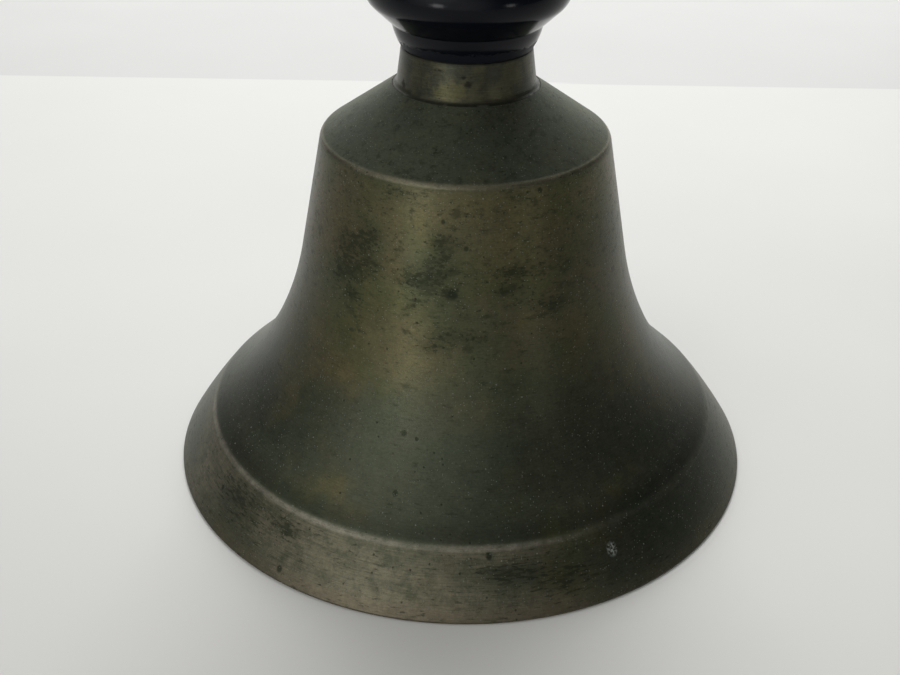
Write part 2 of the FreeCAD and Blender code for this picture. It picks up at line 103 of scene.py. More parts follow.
def turned(name, corners, steps=128, spacing=1.2):
    """A piece turned about the upright axis, its outline spun once round and the seam welded."""
    shape = bmesh.new()
    rim = [shape.verts.new((p.x * MM, 0, p.y * MM)) for p in outline(corners, spacing)]
    follow = rim[1:] + rim[:1]
    edges = [shape.edges.new(pair) for pair in zip(rim, follow) if any(v.co.x > ON_AXIS for v in pair)]
    bmesh.ops.spin(
        shape,
        geom=rim + edges,
        cent=(0, 0, 0),
        axis=(0, 0, 1),
        angle=math.tau,
        steps=steps,
        use_merge=True,
    )
    bmesh.ops.remove_doubles(shape, verts=shape.verts, dist=WELD)
    bmesh.ops.recalc_face_normals(shape, faces=shape.faces)
    return as_object(name, shape)


def as_object(name, shape):
    """Puts a finished shape in the scene, smooth except along its sharp edges."""
    mesh = bpy.data.meshes.new(name)
    shape.to_mesh(mesh)
    shape.free()
    mesh.shade_smooth()
    mesh.set_sharp_from_angle(angle=SHARP_EDGE)
    made = bpy.data.objects.new(name, mesh)
    bpy.context.scene.collection.objects.link(made)
    return made


def mark(piece, name, spots):
    """Gives each point of a piece how deep it lies in the given spots.

    A spot is (turn in degrees from the front, level, half width, half height) in millimetres.
    """
    places = np.empty(len(piece.data.vertices) * 3)
    piece.data.vertices.foreach_get("co", places)
    across, back, level = places.reshape(-1, 3).T / MM
    radius = np.hypot(across, back)
    turn = np.degrees(np.arctan2(across, -back))
    depth = np.zeros(len(level))
    for at_turn, at_level, half_width, half_height in spots:
        away = np.radians(turn - at_turn) * radius / half_width
        above = (level - at_level) / half_height
        depth += np.exp(-away * away - above * above)
    layer = piece.data.attributes.new(name, "FLOAT", "POINT")
    layer.data.foreach_set("value", np.minimum(depth, 1.0))


def connect(tree, socket, value):
    """Feeds a socket with another node's result or with a plain value."""
    if isinstance(value, bpy.types.NodeSocket):
        tree.links.new(value, socket)
    else:
        socket.default_value = value


def add_node(tree, kind, inputs=None, **settings):
    """Adds a node with its settings, then feeds the inputs given by name or number."""
    node = tree.nodes.new(kind)
    for key, value in settings.items():
        setattr(node, key, value)
    for socket, value in (inputs or {}).items():
        connect(tree, node.inputs[socket], value)
    return node


class Finish:
    """A material built up as a graph: most methods add a few nodes and give back their result."""

    def __init__(self, name, sockets):
        self.material = bpy.data.materials.new(name)
        self.material.use_nodes = True
        self.tree = self.material.node_tree
        self.shader = self.tree.nodes["Principled BSDF"]
        for socket, value in sockets.items():
            self.shader.inputs[socket].default_value = value
        self.place = self.add("ShaderNodeTexCoord").outputs["Object"]
        apart = self.add("ShaderNodeSeparateXYZ", {0: self.place}).outputs
        self.level = self.maths("DIVIDE", apart["Z"], MM)
        flat = self.vector("MULTIPLY", self.place, (1, 1, 0))
        self.ring = self.vector("NORMALIZE", flat, (0, 0, 0))
        self.radius = self.add("ShaderNodeVectorMath", {0: flat}, operation="LENGTH").outputs["Value"]
        self.turn = self.maths("ARCTAN2", apart["X"], self.maths("MULTIPLY", apart["Y"], -1))

    def add(self, kind, inputs=None, **settings):
        return add_node(self.tree, kind, inputs, **settings)

    def feed(self, socket, value):
        """Feeds one of the shader's own sockets."""
        connect(self.tree, self.shader.inputs[socket], value)

    def maths(self, operation, *values):
        node = self.add("ShaderNodeMath", dict(enumerate(values)), operation=operation)
        return node.outputs[0]

    def vector(self, operation, first, second):
        node = self.add("ShaderNodeVectorMath", {0: first, 1: second}, operation=operation)
        return node.outputs[0]

    def step(self, value, low, high):
        """Rises softly from 0 to 1 as the value goes from low to high."""
        inputs = {"Value": value, "From Min": low, "From Max": high}
        node = self.add("ShaderNodeMapRange", inputs, interpolation_type="SMOOTHSTEP")
        return node.outputs["Result"]

    def spread(self, value, low, high):
        """Stretches a value that runs from 0 to 1 so that it runs from low to high."""
        return self.maths("MULTIPLY_ADD", value, high - low, low)

    def noise(self, size, detail=4.0, roughness=0.55, where=None):
        """Clouds whose patches are about size millimetres across."""
        inputs = {"Vector": where or self.place, "Scale": 1 / (size * MM)}
        inputs.update({"Detail": detail, "Roughness": roughness})
        return self.add("ShaderNodeTexNoise", inputs).outputs[0]

    def streaks(self, around, thick, detail=3.0, roughness=0.6):
        """Marks that run level round the axis: around radians long and thick millimetres high."""
        along = self.maths("SUBTRACT", self.maths("MULTIPLY", self.level, MM), self.radius)
        along = self.maths("DIVIDE", along, thick * MM)
        lift = self.add("ShaderNodeCombineXYZ", {"Z": along}).outputs[0]
        scale = 1 / around
        where = self.vector("ADD", self.vector("MULTIPLY", self.ring, (scale, scale, scale)), lift)
        inputs = {"Vector": where, "Scale": 1.0, "Detail": detail, "Roughness": roughness}
        return self.add("ShaderNodeTexNoise", inputs).outputs[0]

    def spot(self, turn, level, size):
        """One round spot, size millimetres from middle to edge, at a turn from the front."""
        aside = self.maths("SUBTRACT", self.turn, math.radians(turn))
        aside = self.maths("MULTIPLY", aside, self.maths("DIVIDE", self.radius, MM))
        above = self.maths("SUBTRACT", self.level, level)
        aside = self.maths("MULTIPLY", aside, aside)
        away = self.maths("SQRT", self.maths("MULTIPLY_ADD", above, above, aside))
        return self.step(away, size * 1.2, size * 0.5)

    def specks(self, spacing, width, share):
        """Small dots, width millimetres across, in a share of the cells of a scattered grid."""
        inputs = {"Vector": self.place, "Scale": 1 / (spacing * MM)}
        cells = self.add("ShaderNodeTexVoronoi", inputs)
        edge = width / spacing / 2
        dot = self.step(cells.outputs["Distance"], edge * 1.3, edge * 0.6)
        chosen = self.add("ShaderNodeSeparateColor", {0: cells.outputs["Color"]}).outputs[0]
        return self.maths("MULTIPLY", dot, self.step(chosen, share * 1.05, share * 0.95))

    def blend(self, amount, one, other):
        """Goes from one colour to the other as the amount goes from 0 to 1."""
        inputs = {"Factor": amount, 6: one, 7: other}
        return self.add("ShaderNodeMix", inputs, data_type="RGBA").outputs[2]

    def shade(self, colour, amount):
        """Makes a colour lighter or darker by a factor."""
        colour = colour if isinstance(colour, bpy.types.NodeSocket) else colour[:3]
        node = self.add("ShaderNodeVectorMath", {0: colour, "Scale": amount}, operation="SCALE")
        return node.outputs[0]

    def attribute(self, name):
        return self.add("ShaderNodeAttribute", attribute_name=name).outputs["Fac"]

    def bump(self, height, depth, strength=1.0, under=None):
        """Raises the surface by height, from 0 to 1, times depth millimetres."""
        inputs = {"Height": height, "Distance": depth * MM, "Strength": strength}
        if under is not None:
            inputs["Normal"] = under
        return self.add("ShaderNodeBump", inputs).outputs[0]

    def round_tangent(self):
        """Turning marks stretch every reflection across themselves."""
        tangent = self.add("ShaderNodeTangent", direction_type="RADIAL", axis="Z")
        self.feed("Tangent", tangent.outputs[0])

    def wear(self, colour, roughness, normal=None):
        """Hands the finished colour, roughness and relief to the shader."""
        self.feed("Base Color", colour)
        self.feed("Roughness", roughness)
        if normal is not None:
            self.feed("Normal", normal)


def bell_patina():
    f = Finish("bell_patina", {
        "Metallic": 0.90,
        "Anisotropic": 0.55,
        "Anisotropic Rotation": 0.25,
        "Specular IOR Level": 0.4,
    })
    f.round_tangent()
    brown = (0.114, 0.101, 0.051, 1)
    olive = (0.083, 0.088, 0.041, 1)
    grey_green = (0.060, 0.070, 0.049, 1)
    brassy = (0.150, 0.138, 0.094, 1)
    polished = (0.150, 0.128, 0.088, 1)
    ridge_wear_and_highlight = (0.300, 0.285, 0.225, 1)
    verdigris = (0.020, 0.026, 0.015, 1)
    dust = (0.34, 0.36, 0.31, 1)
    lint = (0.42, 0.45, 0.41, 1)

    clouds = f.noise(15, detail=6, roughness=0.62)
    banks = f.noise(24, detail=5, roughness=0.6, where=f.vector("ADD", f.place, (0.31, 0.17, 0.05)))
    mottle = f.noise(3.2, detail=7, roughness=0.72)
    grain = f.noise(0.55, detail=3, roughness=0.8)
    fine_marks = f.streaks(0.05, 0.24, detail=4, roughness=0.75)
    flecks = f.streaks(0.035, 0.75, detail=5, roughness=0.68)
    smudges = f.streaks(0.085, 1.9, detail=7, roughness=0.68)

    colour = f.blend(f.step(clouds, 0.42, 0.60), brown, olive)
    low_down = f.step(f.level, 50, 26)
    greyed = f.maths("MULTIPLY_ADD", low_down, 0.14, banks)
    greyed = f.maths("MULTIPLY", f.step(greyed, 0.40, 0.64), f.spread(low_down, 0.45, 0.85))
    colour = f.blend(greyed, colour, grey_green)

    warm = f.maths("MULTIPLY", f.attribute("warm"), f.spread(mottle, 0.2, 1.0))
    colour = f.blend(warm, colour, brown)

    # The lip is rubbed back to a brassier tone, most of all along its lower edge; the ridge is lightened
    # too, partly as wear and partly as a painted highlight along its rounded crest.
    ragged = f.maths("ADD", f.level, f.spread(mottle, -2.2, 2.2))
    rubbed = f.attribute("rubbed")
    lip = f.maths("MULTIPLY", f.step(f.level, 13.4, 12.8), rubbed)
    brushed = f.step(f.streaks(0.16, 0.5, detail=5, roughness=0.7), 0.30, 0.62)
    brushed = f.maths("MULTIPLY", f.spread(brushed, 0.45, 1.1), f.spread(f.step(mottle, 0.3, 0.6), 0.3, 1.1))
    colour = f.blend(f.maths("MULTIPLY", lip, brushed), colour, brassy)
    low = f.maths("MULTIPLY", f.step(ragged, 4.2, 1.6), f.spread(rubbed, 0.25, 0.9))
    colour = f.blend(low, colour, polished)
    # Wear and painted highlight: the ridge's crest is lightened to pale brass in a thin ring.
    ridge = f.maths("MULTIPLY", f.step(f.level, 12.0, 12.7), f.step(f.level, 13.6, 12.9))
    worn = f.maths("MULTIPLY", ridge, f.spread(rubbed, 0.12, 0.85))
    colour = f.blend(f.maths("MULTIPLY", worn, f.spread(mottle, 0.0, 1.3)), colour, ridge_wear_and_highlight)
    groove = f.maths("MULTIPLY", f.step(f.level, 13.3, 14.0), f.step(f.level, 17.5, 14.6))

    shoulder = f.step(f.level, 79.6, 82.0)
    green = f.maths("MULTIPLY", shoulder, f.spread(f.noise(7, detail=6, roughness=0.7), 0.3, 1.4))
    colour = f.blend(green, colour, grey_green)
    blotch = f.step(f.noise(2.6, detail=6, roughness=0.75), 0.50, 0.66)
    colour = f.blend(f.maths("MULTIPLY", shoulder, f.maths("MULTIPLY", blotch, 0.55)), colour, verdigris)
    # Painted highlight: a thin ring on the shoulder's rounded edge is lightened to brass, standing in for
    # the light it catches.
    edge = f.maths("MULTIPLY", f.step(f.level, 80.3, 80.9), f.step(f.level, 81.7, 81.2))
    colour = f.blend(f.maths("MULTIPLY", edge, f.spread(mottle, 0.3, 1.2)), colour, brassy)

    colour = f.shade(colour, f.spread(fine_marks, 0.60, 1.40))
    colour = f.shade(colour, f.spread(grain, 0.62, 1.38))
    colour = f.shade(colour, f.spread(mottle, 0.62, 1.38))
    colour = f.shade(colour, f.spread(groove, 1.0, 0.72))
    colour = f.shade(colour, f.spread(f.attribute("shaded"), 1.0, 0.62))
    colour = f.shade(colour, f.spread(shoulder, 1.0, 1.18))

    # Stains are loose crowds of flecks over a green bloom; a few flecks lie everywhere.
    near = f.attribute("stain")
    walls = f.maths("SUBTRACT", f.step(f.level, 34, 60), shoulder)
    flecked = f.maths("MAXIMUM", walls, f.step(f.level, 13, 11))
    crowd = f.maths("MULTIPLY_ADD", near, 0.19, flecks)
    crowd = f.maths("MULTIPLY_ADD", flecked, 0.06, crowd)
    stain = f.step(crowd, 0.61, 0.76)
    loose = f.maths("MULTIPLY_ADD", walls, 0.05, smudges)
    smudge = f.step(f.maths("MULTIPLY_ADD", near, 0.17, loose), 0.57, 0.72)
    bloom = f.maths("MULTIPLY", near, f.spread(mottle, 0.05, 0.70))
    dark = f.maths("MAXIMUM", f.maths("MULTIPLY", stain, 0.74), bloom)
    dark = f.maths("MAXIMUM", f.maths("MULTIPLY", smudge, 0.52), dark)
    colour = f.blend(dark, colour, verdigris)

    pits = f.specks(2.0, 0.46, 0.35)
    for turn, level, size in BELL_PITS:
        pits = f.maths("MAXIMUM", pits, f.spot(turn, level, size))
    colour = f.blend(f.maths("MULTIPLY", pits, 0.75), colour, verdigris)
    grains = f.maths("MAXIMUM", f.specks(0.6, 0.20, 0.40), f.specks(1.8, 0.32, 0.30))
    dusty = f.maths("MAXIMUM", f.step(f.noise(11, detail=5), 0.32, 0.56), f.maths("MULTIPLY", shoulder, 0.8))
    thin = f.maths("MULTIPLY", grains, dusty)
    colour = f.blend(f.maths("MULTIPLY", thin, 0.65), colour, dust)
    # One tuft of pale lint is caught on the lip.
    tuft = f.maths("MULTIPLY", f.spot(*BELL_TUFT), f.step(f.noise(0.5, detail=4), 0.40, 0.58))
    colour = f.blend(tuft, colour, lint)

    rough = f.spread(mottle, 0.32, 0.48)
    rough = f.maths("ADD", rough, f.maths("MULTIPLY", dark, 0.16))
    rough = f.maths("ADD", rough, f.maths("MULTIPLY", shoulder, 0.32))
    rough = f.maths("ADD", rough, f.maths("MULTIPLY", thin, 0.3))
    rough = f.maths("SUBTRACT", rough, f.maths("MULTIPLY", edge, 0.20))
    normal = f.bump(fine_marks, 0.014)
    normal = f.bump(mottle, 0.06, under=normal)
    normal = f.bump(grain, 0.015, under=normal)
    normal = f.bump(f.maths("SUBTRACT", grains, pits), 0.04, under=normal)
    f.wear(colour, rough, normal)
    return f.material


# The level at which the swinging ball meets the inner wall.
STRIKE_LEVEL = 30.9


def bell_casting():
    f = Finish("bell_casting", {"Metallic": 0.5, "Specular IOR Level": 0.4})
    bronze = (0.150, 0.105, 0.055, 1)
    soot = (0.038, 0.032, 0.022, 1)
    green = (0.055, 0.075, 0.052, 1)
    rubbed = (0.42, 0.30, 0.15, 1)

    clouds = f.noise(22, detail=6, roughness=0.6)
    sand = f.noise(0.9, detail=3, roughness=0.7)
    rings = f.streaks(0.9, 0.6, detail=3)
    colour = f.blend(f.step(clouds, 0.38, 0.62), bronze, soot)
    colour = f.blend(f.step(f.noise(8, detail=6, roughness=0.7), 0.58, 0.70), colour, green)
    colour = f.shade(colour, f.spread(rings, 0.7, 1.3))
    # The clapper's ball has polished a broken ring where it strikes.
    from_below = f.step(f.level, STRIKE_LEVEL - 4.7, STRIKE_LEVEL - 1.2)
    from_above = f.step(f.level, STRIKE_LEVEL + 5.3, STRIKE_LEVEL + 1.3)
    struck = f.maths("MULTIPLY", from_below, from_above)
    struck = f.maths("MULTIPLY", struck, f.step(f.noise(5, detail=4), 0.42, 0.60))
    colour = f.blend(f.maths("MULTIPLY", struck, 0.8), colour, rubbed)
    rim = f.step(f.level, 0.6, 0.2)
    colour = f.blend(f.maths("MULTIPLY", rim, f.step(rings, 0.35, 0.6)), colour, rubbed)
    rough = f.maths("SUBTRACT", f.spread(sand, 0.48, 0.66), f.maths("MULTIPLY", struck, 0.22))
    normal = f.bump(sand, 0.10)
    normal = f.bump(rings, 0.04, under=normal)
    f.wear(colour, rough, normal)
    return f.material


BELL_STAINS = (
    (-44, 64.5, 3.2, 3.0),
    (-37, 67.0, 3.0, 2.4),
    (-41, 60.0, 3.4, 2.2),
    (-34, 62.5, 2.6, 2.4),
    (-39, 54.7, 2.4, 1.6),
    (-33, 68.8, 1.8, 1.4),
    (-46, 58.0, 1.6, 1.6),
    (-7, 69.5, 2.6, 2.4),
    (-9, 63.0, 3.6, 3.4),
    (-3, 59.1, 1.9, 1.3),
    (-16, 61.5, 3.0, 1.4),
    (17, 63.5, 4.2, 1.3),
    (14.5, 60.0, 3.6, 1.1),
    (-24, 78.5, 2.8, 0.7),
    (21, 78.5, 1.6, 0.6),
    (-16, 56.5, 0.9, 0.8),
    (-2, 49.9, 6.0, 1.2),
    (-10, 47.5, 3.0, 1.0),
    (30, 55.0, 4.0, 1.6),
    (-50, 9.0, 7.0, 2.6),
    (-36, 9.6, 5.0, 1.6),
    (9, 8.6, 6.0, 1.8),
    (20, 6.8, 6.0, 2.2),
    (118, 66.0, 4.0, 3.0),
    (126, 60.0, 3.0, 3.4),
    (172, 48.0, 5.0, 2.2),
    (-140, 70.0, 3.4, 2.6),
    (-150, 36.0, 5.0, 2.4),
    (95, 34.0, 4.0, 1.6),
)

BELL_SHADED = (
    (-74, 58, 18, 24),
    (50, 56, 20, 26),
    (44, 9, 20, 8),
    (74, 20, 30, 16),
    (-80, 28, 16, 14),
    (150, 50, 40, 20),
)

BELL_WARM = (
    (-14, 76, 34, 5),
    (-24, 48, 14, 8),
    (20, 66, 16, 6),
    (130, 60, 40, 16),
)

# Each pit, and the tuft of lint, is (turn, level, size).
BELL_TUFT = (30.5, 8.7, 1.3)
BELL_PITS = (
    (-15, 30.1, 0.7),
    (-11.3, 29.4, 0.45),
    (-14.5, 19.9, 0.6),
    (6, 11.6, 0.7),
    (-34, 2.6, 0.8),
    (-7, 74.1, 0.55),
    (1, 68.8, 0.6),
    (-3, 59.1, 1.2),
    (28, 79.4, 0.6),
    (-56, 8.0, 0.6),
)

# Spots where the lip and the ridge are lightened: rubbed wear on the lip, and on the ridge partly wear,
# partly a painted highlight.
BELL_WEAR_AND_RIDGE_HIGHLIGHT = (
    (-34, 8.5, 16, 7),
    (-18, 6.0, 16, 7),
    (-2, 4.5, 11, 4),
    (14, 3.0, 9, 3),
    (-58, 12.5, 18, 4),
    (-64, 6.0, 10, 4),
    (-75, 12.5, 14, 3),
    (8, 12.5, 14, 3),
    (112, 6.0, 26, 7),
    (-140, 5.0, 30, 8),
    (170, 12.5, 30, 5),
)

bell = turned("bell_casting", BELL_OUTLINE, BELL_STEPS)
mark(bell, "stain", BELL_STAINS)
mark(bell, "rubbed", BELL_WEAR_AND_RIDGE_HIGHLIGHT)
mark(bell, "shaded", BELL_SHADED)
mark(bell, "warm", BELL_WARM)
bell.data.materials.append(bell_patina())
bell.data.materials.append(bell_casting())
# The inner wall and the underside of the rim are as cast, and the patina covers all the rest.
for face in bell.data.polygons:
    outward = face.normal.x * face.center.x + face.normal.y * face.center.y
    face.material_index = 1 if outward < 0 or face.center.z < 0.1 * MM or face.normal.z < -0.9 else 0
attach(bell, "bell")
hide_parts("bell_body")


# ---------------------------------------------------------------------------
# The collar: a turned brass ferrule that takes the tenon of the handle. It tapers up from a
# small cove and sits in a shallow seat on the crown, so a dark seam shows round its foot.
# ---------------------------------------------------------------------------

COLLAR_OUTLINE = (
    (16.10, 91.2),
    (16.10, 91.96),
    (15.90, 92.16, -1.4),
    (15.15, 93.1),
    (14.18, 100.25),
    (13.90, 100.5),
    (11.60, 100.5),
    (11.60, 91.2),
)

COLLAR_STAINS = (
    (1.5, 96.2, 0.9, 0.8),
    (-7, 97.9, 0.7, 0.25),
    (-2, 97.7, 0.6, 0.25),
    (4, 97.8, 0.5, 0.2),
    (-24, 98.6, 1.8, 0.2),
    (-62, 93.6, 1.4, 1.0),
    (140, 96.0, 1.8, 1.6),
)

COLLAR_BRIGHT = (
    (-18, 94.3, 2.6, 1.5),
    (-7, 94.9, 2.4, 1.7),
    (75, 95.0, 2.0, 1.4),
    (-160, 95.5, 2.6, 1.4),
)


def collar_brass():
    f = Finish("collar_brass", {
        "Metallic": 0.8,
        "Anisotropic": 0.5,
        "Anisotropic Rotation": 0.25,
        "Specular IOR Level": 0.4,
    })
    f.round_tangent()
    brassy = (0.064, 0.061, 0.037, 1)
    dull = (0.038, 0.040, 0.028, 1)
    yellow = (0.074, 0.071, 0.035, 1)
    soot = (0.014, 0.014, 0.011, 1)
    bare = (0.15, 0.14, 0.10, 1)
    dust = (0.13, 0.13, 0.11, 1)
    marks = f.streaks(0.25, 0.30, detail=6, roughness=0.75)
    scratches = f.streaks(0.6, 0.10, detail=2)
    mottle = f.noise(1.6, detail=7, roughness=0.72)
    colour = f.blend(f.step(f.noise(5, detail=6, roughness=0.65), 0.40, 0.60), brassy, dull)
    bright = f.maths("ADD", f.attribute("bright"), f.spread(mottle, -1.0, 1.0))
    colour = f.blend(f.step(bright, 0.1, 0.9), colour, yellow)
    colour = f.shade(colour, f.spread(marks, 0.45, 1.55))
    colour = f.shade(colour, f.spread(scratches, 0.75, 1.25))
    colour = f.shade(colour, f.spread(mottle, 0.45, 1.55))
    scored = f.step(f.streaks(0.5, 0.09, detail=3), 0.60, 0.72)
    colour = f.blend(f.maths("MULTIPLY", scored, 0.45), colour, bare)
    stain = f.maths("ADD", f.attribute("stain"), f.spread(mottle, -1.2, 1.2))
    stain = f.step(stain, 0.25, 0.9)
    stain = f.maths("MAXIMUM", stain, f.step(f.streaks(0.05, 0.6, detail=4), 0.64, 0.72))
    # The collar is also darkened in a band along its top, under the handle's foot, and in a band round its
    # foot.
    top = f.maths("MULTIPLY", f.step(f.level, 99.7, 100.4), f.spread(mottle, 0.2, 1.0))
    foot = f.maths("MULTIPLY", f.step(f.level, 92.9, 92.1), f.spread(mottle, 0.6, 1.2))
    stain = f.maths("MAXIMUM", f.maths("MAXIMUM", stain, top), foot)
    colour = f.blend(f.maths("MULTIPLY", stain, 0.8), colour, soot)
    # A pale ring along the seam round the foot is partly gathered dust and partly a painted highlight on the
    # seat's rim.
    seam = f.maths("MULTIPLY", f.step(f.level, 91.8, 91.95), f.step(f.level, 92.4, 92.15))
    caught = f.maths("MULTIPLY", seam, f.step(f.noise(3, detail=4), 0.50, 0.68))
    colour = f.blend(f.maths("MULTIPLY", caught, 0.5), colour, dust)
    rough = f.maths("ADD", f.spread(mottle, 0.28, 0.44), f.maths("MULTIPLY", stain, 0.2))
    normal = f.bump(marks, 0.03)
    normal = f.bump(mottle, 0.04, under=normal)
    f.wear(colour, rough, normal)
    return f.material


collar = turned("collar_ferrule", COLLAR_OUTLINE, 192, spacing=0.5)
mark(collar, "stain", COLLAR_STAINS)
mark(collar, "bright", COLLAR_BRIGHT)
collar.data.materials.append(collar_brass())
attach(collar, "bell")
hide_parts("collar")


# ---------------------------------------------------------------------------
# The leather washer: a hide disc under the tenon, inside the collar, that lets the tie rod be
# drawn up tight. The same hide makes the two small washers beside the clapper's eye.
# ---------------------------------------------------------------------------


def hide_leather():
    f = Finish("hide_leather", {"Metallic": 0.0, "Specular IOR Level": 0.3})
    tan = (0.150, 0.072, 0.032, 1)
    oiled = (0.040, 0.020, 0.011, 1)
    pores = f.add("ShaderNodeTexVoronoi", {"Vector": f.place, "Scale": 1 / (0.5 * MM)}).outputs["Distance"]
    fibres = f.noise(0.7, detail=5)
    colour = f.blend(f.step(f.noise(4, detail=5), 0.35, 0.65), tan, oiled)
    colour = f.shade(colour, f.spread(fibres, 0.7, 1.3))
    normal = f.bump(pores, 0.06)
    f.wear(colour, f.spread(fibres, 0.62, 0.82), normal)
    return f.material


LEATHER = hide_leather()


def refinish(node, material):
    """Gives a part of the frame its finish and keeps its shape."""
    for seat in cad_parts[node].material_slots:
        seat.material = material


refinish("leather_washer", LEATHER)
refinish("pin_washers", LEATHER)


# ---------------------------------------------------------------------------
# The handle: one turned hardwood piece, stained and lacquered black, with a full bead above
# its foot, a slim grip and a round knob. Lacquer has gone dull on the foot by the collar, and
# has rubbed brown along the crests that hands and shelves touch.
# ---------------------------------------------------------------------------

HANDLE_OUTLINE = (
    (3.30, 92.4),
    (11.50, 92.4),
    (11.50, 100.5),
    (14.10, 100.5, 12.2),
    (16.10, 105.45),
    (20.25, 109.3, 5.2),
    (21.90, 113.1, 6.1),
    (16.90, 119.1),
    (14.90, 119.7),
    (14.90, 121.1, -17.27),
    (10.60, 132.5, -70.0),
    (12.68, 149.43, 110.0),
    (13.54, 198.9, -60.0),
    (12.23, 211.4, -8.1),
    (15.00, 217.5),
    (15.00, 218.8),
    (12.60, 220.6, 12.9),
    (10.50, 242.7),
    (3.30, 242.7),
)


def black_lacquer():
    f = Finish("black_lacquer", {"Metallic": 0.0, "Specular IOR Level": 0.16})
    black = (0.0028, 0.0036, 0.0062, 1)
    slate = (0.0065, 0.0078, 0.0118, 1)
    wood = (0.075, 0.035, 0.017, 1)
    dust = (0.3, 0.3, 0.31, 1)
    upright = f.vector("MULTIPLY", f.place, (1, 1, 0.08))
    grain = f.noise(0.8, detail=5, roughness=0.6, where=upright)
    mottle = f.noise(5, detail=6, roughness=0.65)
    ragged = f.maths("ADD", f.level, f.spread(f.noise(2.2, detail=6, roughness=0.7), -1.6, 1.6))
    dull = f.step(ragged, 102.7, 102.1)
    colour = f.blend(dull, black, slate)
    crests = f.maths("MULTIPLY", f.step(f.level, 216.6, 217.6), f.step(f.level, 219.2, 218.6))
    grip = f.maths("MULTIPLY", f.step(f.level, 150, 168), f.step(f.level, 204, 190))
    worn = f.maths("MULTIPLY", crests, f.step(mottle, 0.50, 0.62))
    worn = f.maths("MAXIMUM", worn, f.maths("MULTIPLY", grip, f.step(mottle, 0.62, 0.72)))
    chips = f.specks(6.0, 0.9, 0.18)
    worn = f.maths("MAXIMUM", worn, f.maths("MULTIPLY", chips, 0.8))
    colour = f.blend(f.maths("MULTIPLY", worn, 0.75), colour, f.shade(wood, f.spread(grain, 0.5, 1.5)))
    grains = f.specks(2.2, 0.16, 0.12)
    colour = f.blend(f.maths("MULTIPLY", grains, 0.35), colour, dust)
    rough = f.spread(mottle, 0.10, 0.20)
    rough = f.maths("ADD", rough, f.maths("MULTIPLY", f.maths("MAXIMUM", dull, worn), 0.34))
    normal = f.bump(grain, 0.03, strength=0.5)
    normal = f.bump(f.maths("MULTIPLY", f.maths("MAXIMUM", dull, worn), -1), 0.06, under=normal)
    f.wear(colour, rough, normal)
    return f.material


handle = turned("handle_turning", HANDLE_OUTLINE, 160, spacing=1.0)
handle.data.materials.append(black_lacquer())
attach(handle, "bell")
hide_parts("handle")


# ---------------------------------------------------------------------------
# The tie rod and what holds it under the crown: a threaded steel rod with a round head, a
# plain washer, a split spring washer and a nut. They are plain steel, darkened and spotted
# with rust inside the bell.
# ---------------------------------------------------------------------------


def dark_steel(name="dark_steel", rust_share=0.55):
    f = Finish(name, {"Metallic": 0.85, "Specular IOR Level": 0.5})
    steel = (0.24, 0.235, 0.225, 1)
    scale = (0.055, 0.050, 0.046, 1)
    rust = (0.135, 0.050, 0.020, 1)
    grain = f.noise(0.6, detail=5, roughness=0.65)
    clouds = f.noise(5, detail=6, roughness=0.65)
    colour = f.blend(f.step(clouds, 0.35, 0.62), steel, scale)
    rusted = f.step(f.noise(3, detail=7, roughness=0.72), rust_share, rust_share + 0.1)
    colour = f.blend(rusted, colour, f.shade(rust, f.spread(grain, 0.5, 1.5)))
    rough = f.maths("ADD", f.spread(grain, 0.30, 0.46), f.maths("MULTIPLY", rusted, 0.32))
    normal = f.bump(grain, 0.03)
    normal = f.bump(rusted, 0.05, under=normal)
    f.wear(colour, rough, normal)
    return f.material


STEEL = dark_steel()
for part_name in ("tie_rod", "crown_washer", "spring_washer", "crown_nut"):
    refinish(part_name, STEEL)


# ---------------------------------------------------------------------------
# The top washer and cap nut: bright turned brass where a palm rubs them, brown in the corners.
# The nut is a hexagon with a domed top, screwed down on the tie rod over a dished washer.
# ---------------------------------------------------------------------------


def fitting_brass():
    f = Finish("fitting_brass", {"Metallic": 0.95, "Anisotropic": 0.3})
    f.round_tangent()
    brass = (0.56, 0.40, 0.17, 1)
    brown = (0.16, 0.095, 0.040, 1)
    marks = f.streaks(0.6, 0.25, detail=4)
    mottle = f.noise(3, detail=6, roughness=0.68)
    colour = f.blend(f.step(mottle, 0.45, 0.66), brass, brown)
    corner = f.maths("MAXIMUM", f.step(f.level, 244.9, 244.2), f.step(f.level, 243.0, 242.75))
    colour = f.blend(f.maths("MULTIPLY", corner, 0.7), colour, brown)
    colour = f.shade(colour, f.spread(marks, 0.75, 1.2))
    normal = f.bump(marks, 0.02)
    f.wear(colour, f.spread(mottle, 0.20, 0.42), normal)
    return f.material


BRASS = fitting_brass()
refinish("top_washer", BRASS)
refinish("cap_nut", BRASS)


# ---------------------------------------------------------------------------
# The hanger: a bent steel strap that turns freely on the tie rod's head, and the riveted pin
# across its ears that carries the clapper. Both are forged and blackened.
# ---------------------------------------------------------------------------

FORGED = dark_steel("forged_steel", 0.50)
refinish("clapper_stirrup", FORGED)
refinish("hanger_pin", FORGED)


# ---------------------------------------------------------------------------
# The clapper: a forged shank with an eye at the top and a cast iron ball riveted on below.
# The ball is bare and bright round its waist, where it meets the bell.
# ---------------------------------------------------------------------------

BALL_OUTLINE = (
    (2.02, 4.19),
    (4.0, 4.19, 12.0),
    (12.0, 15.5, 12.0),
    (4.0, 26.81),
    (2.02, 26.81),
)


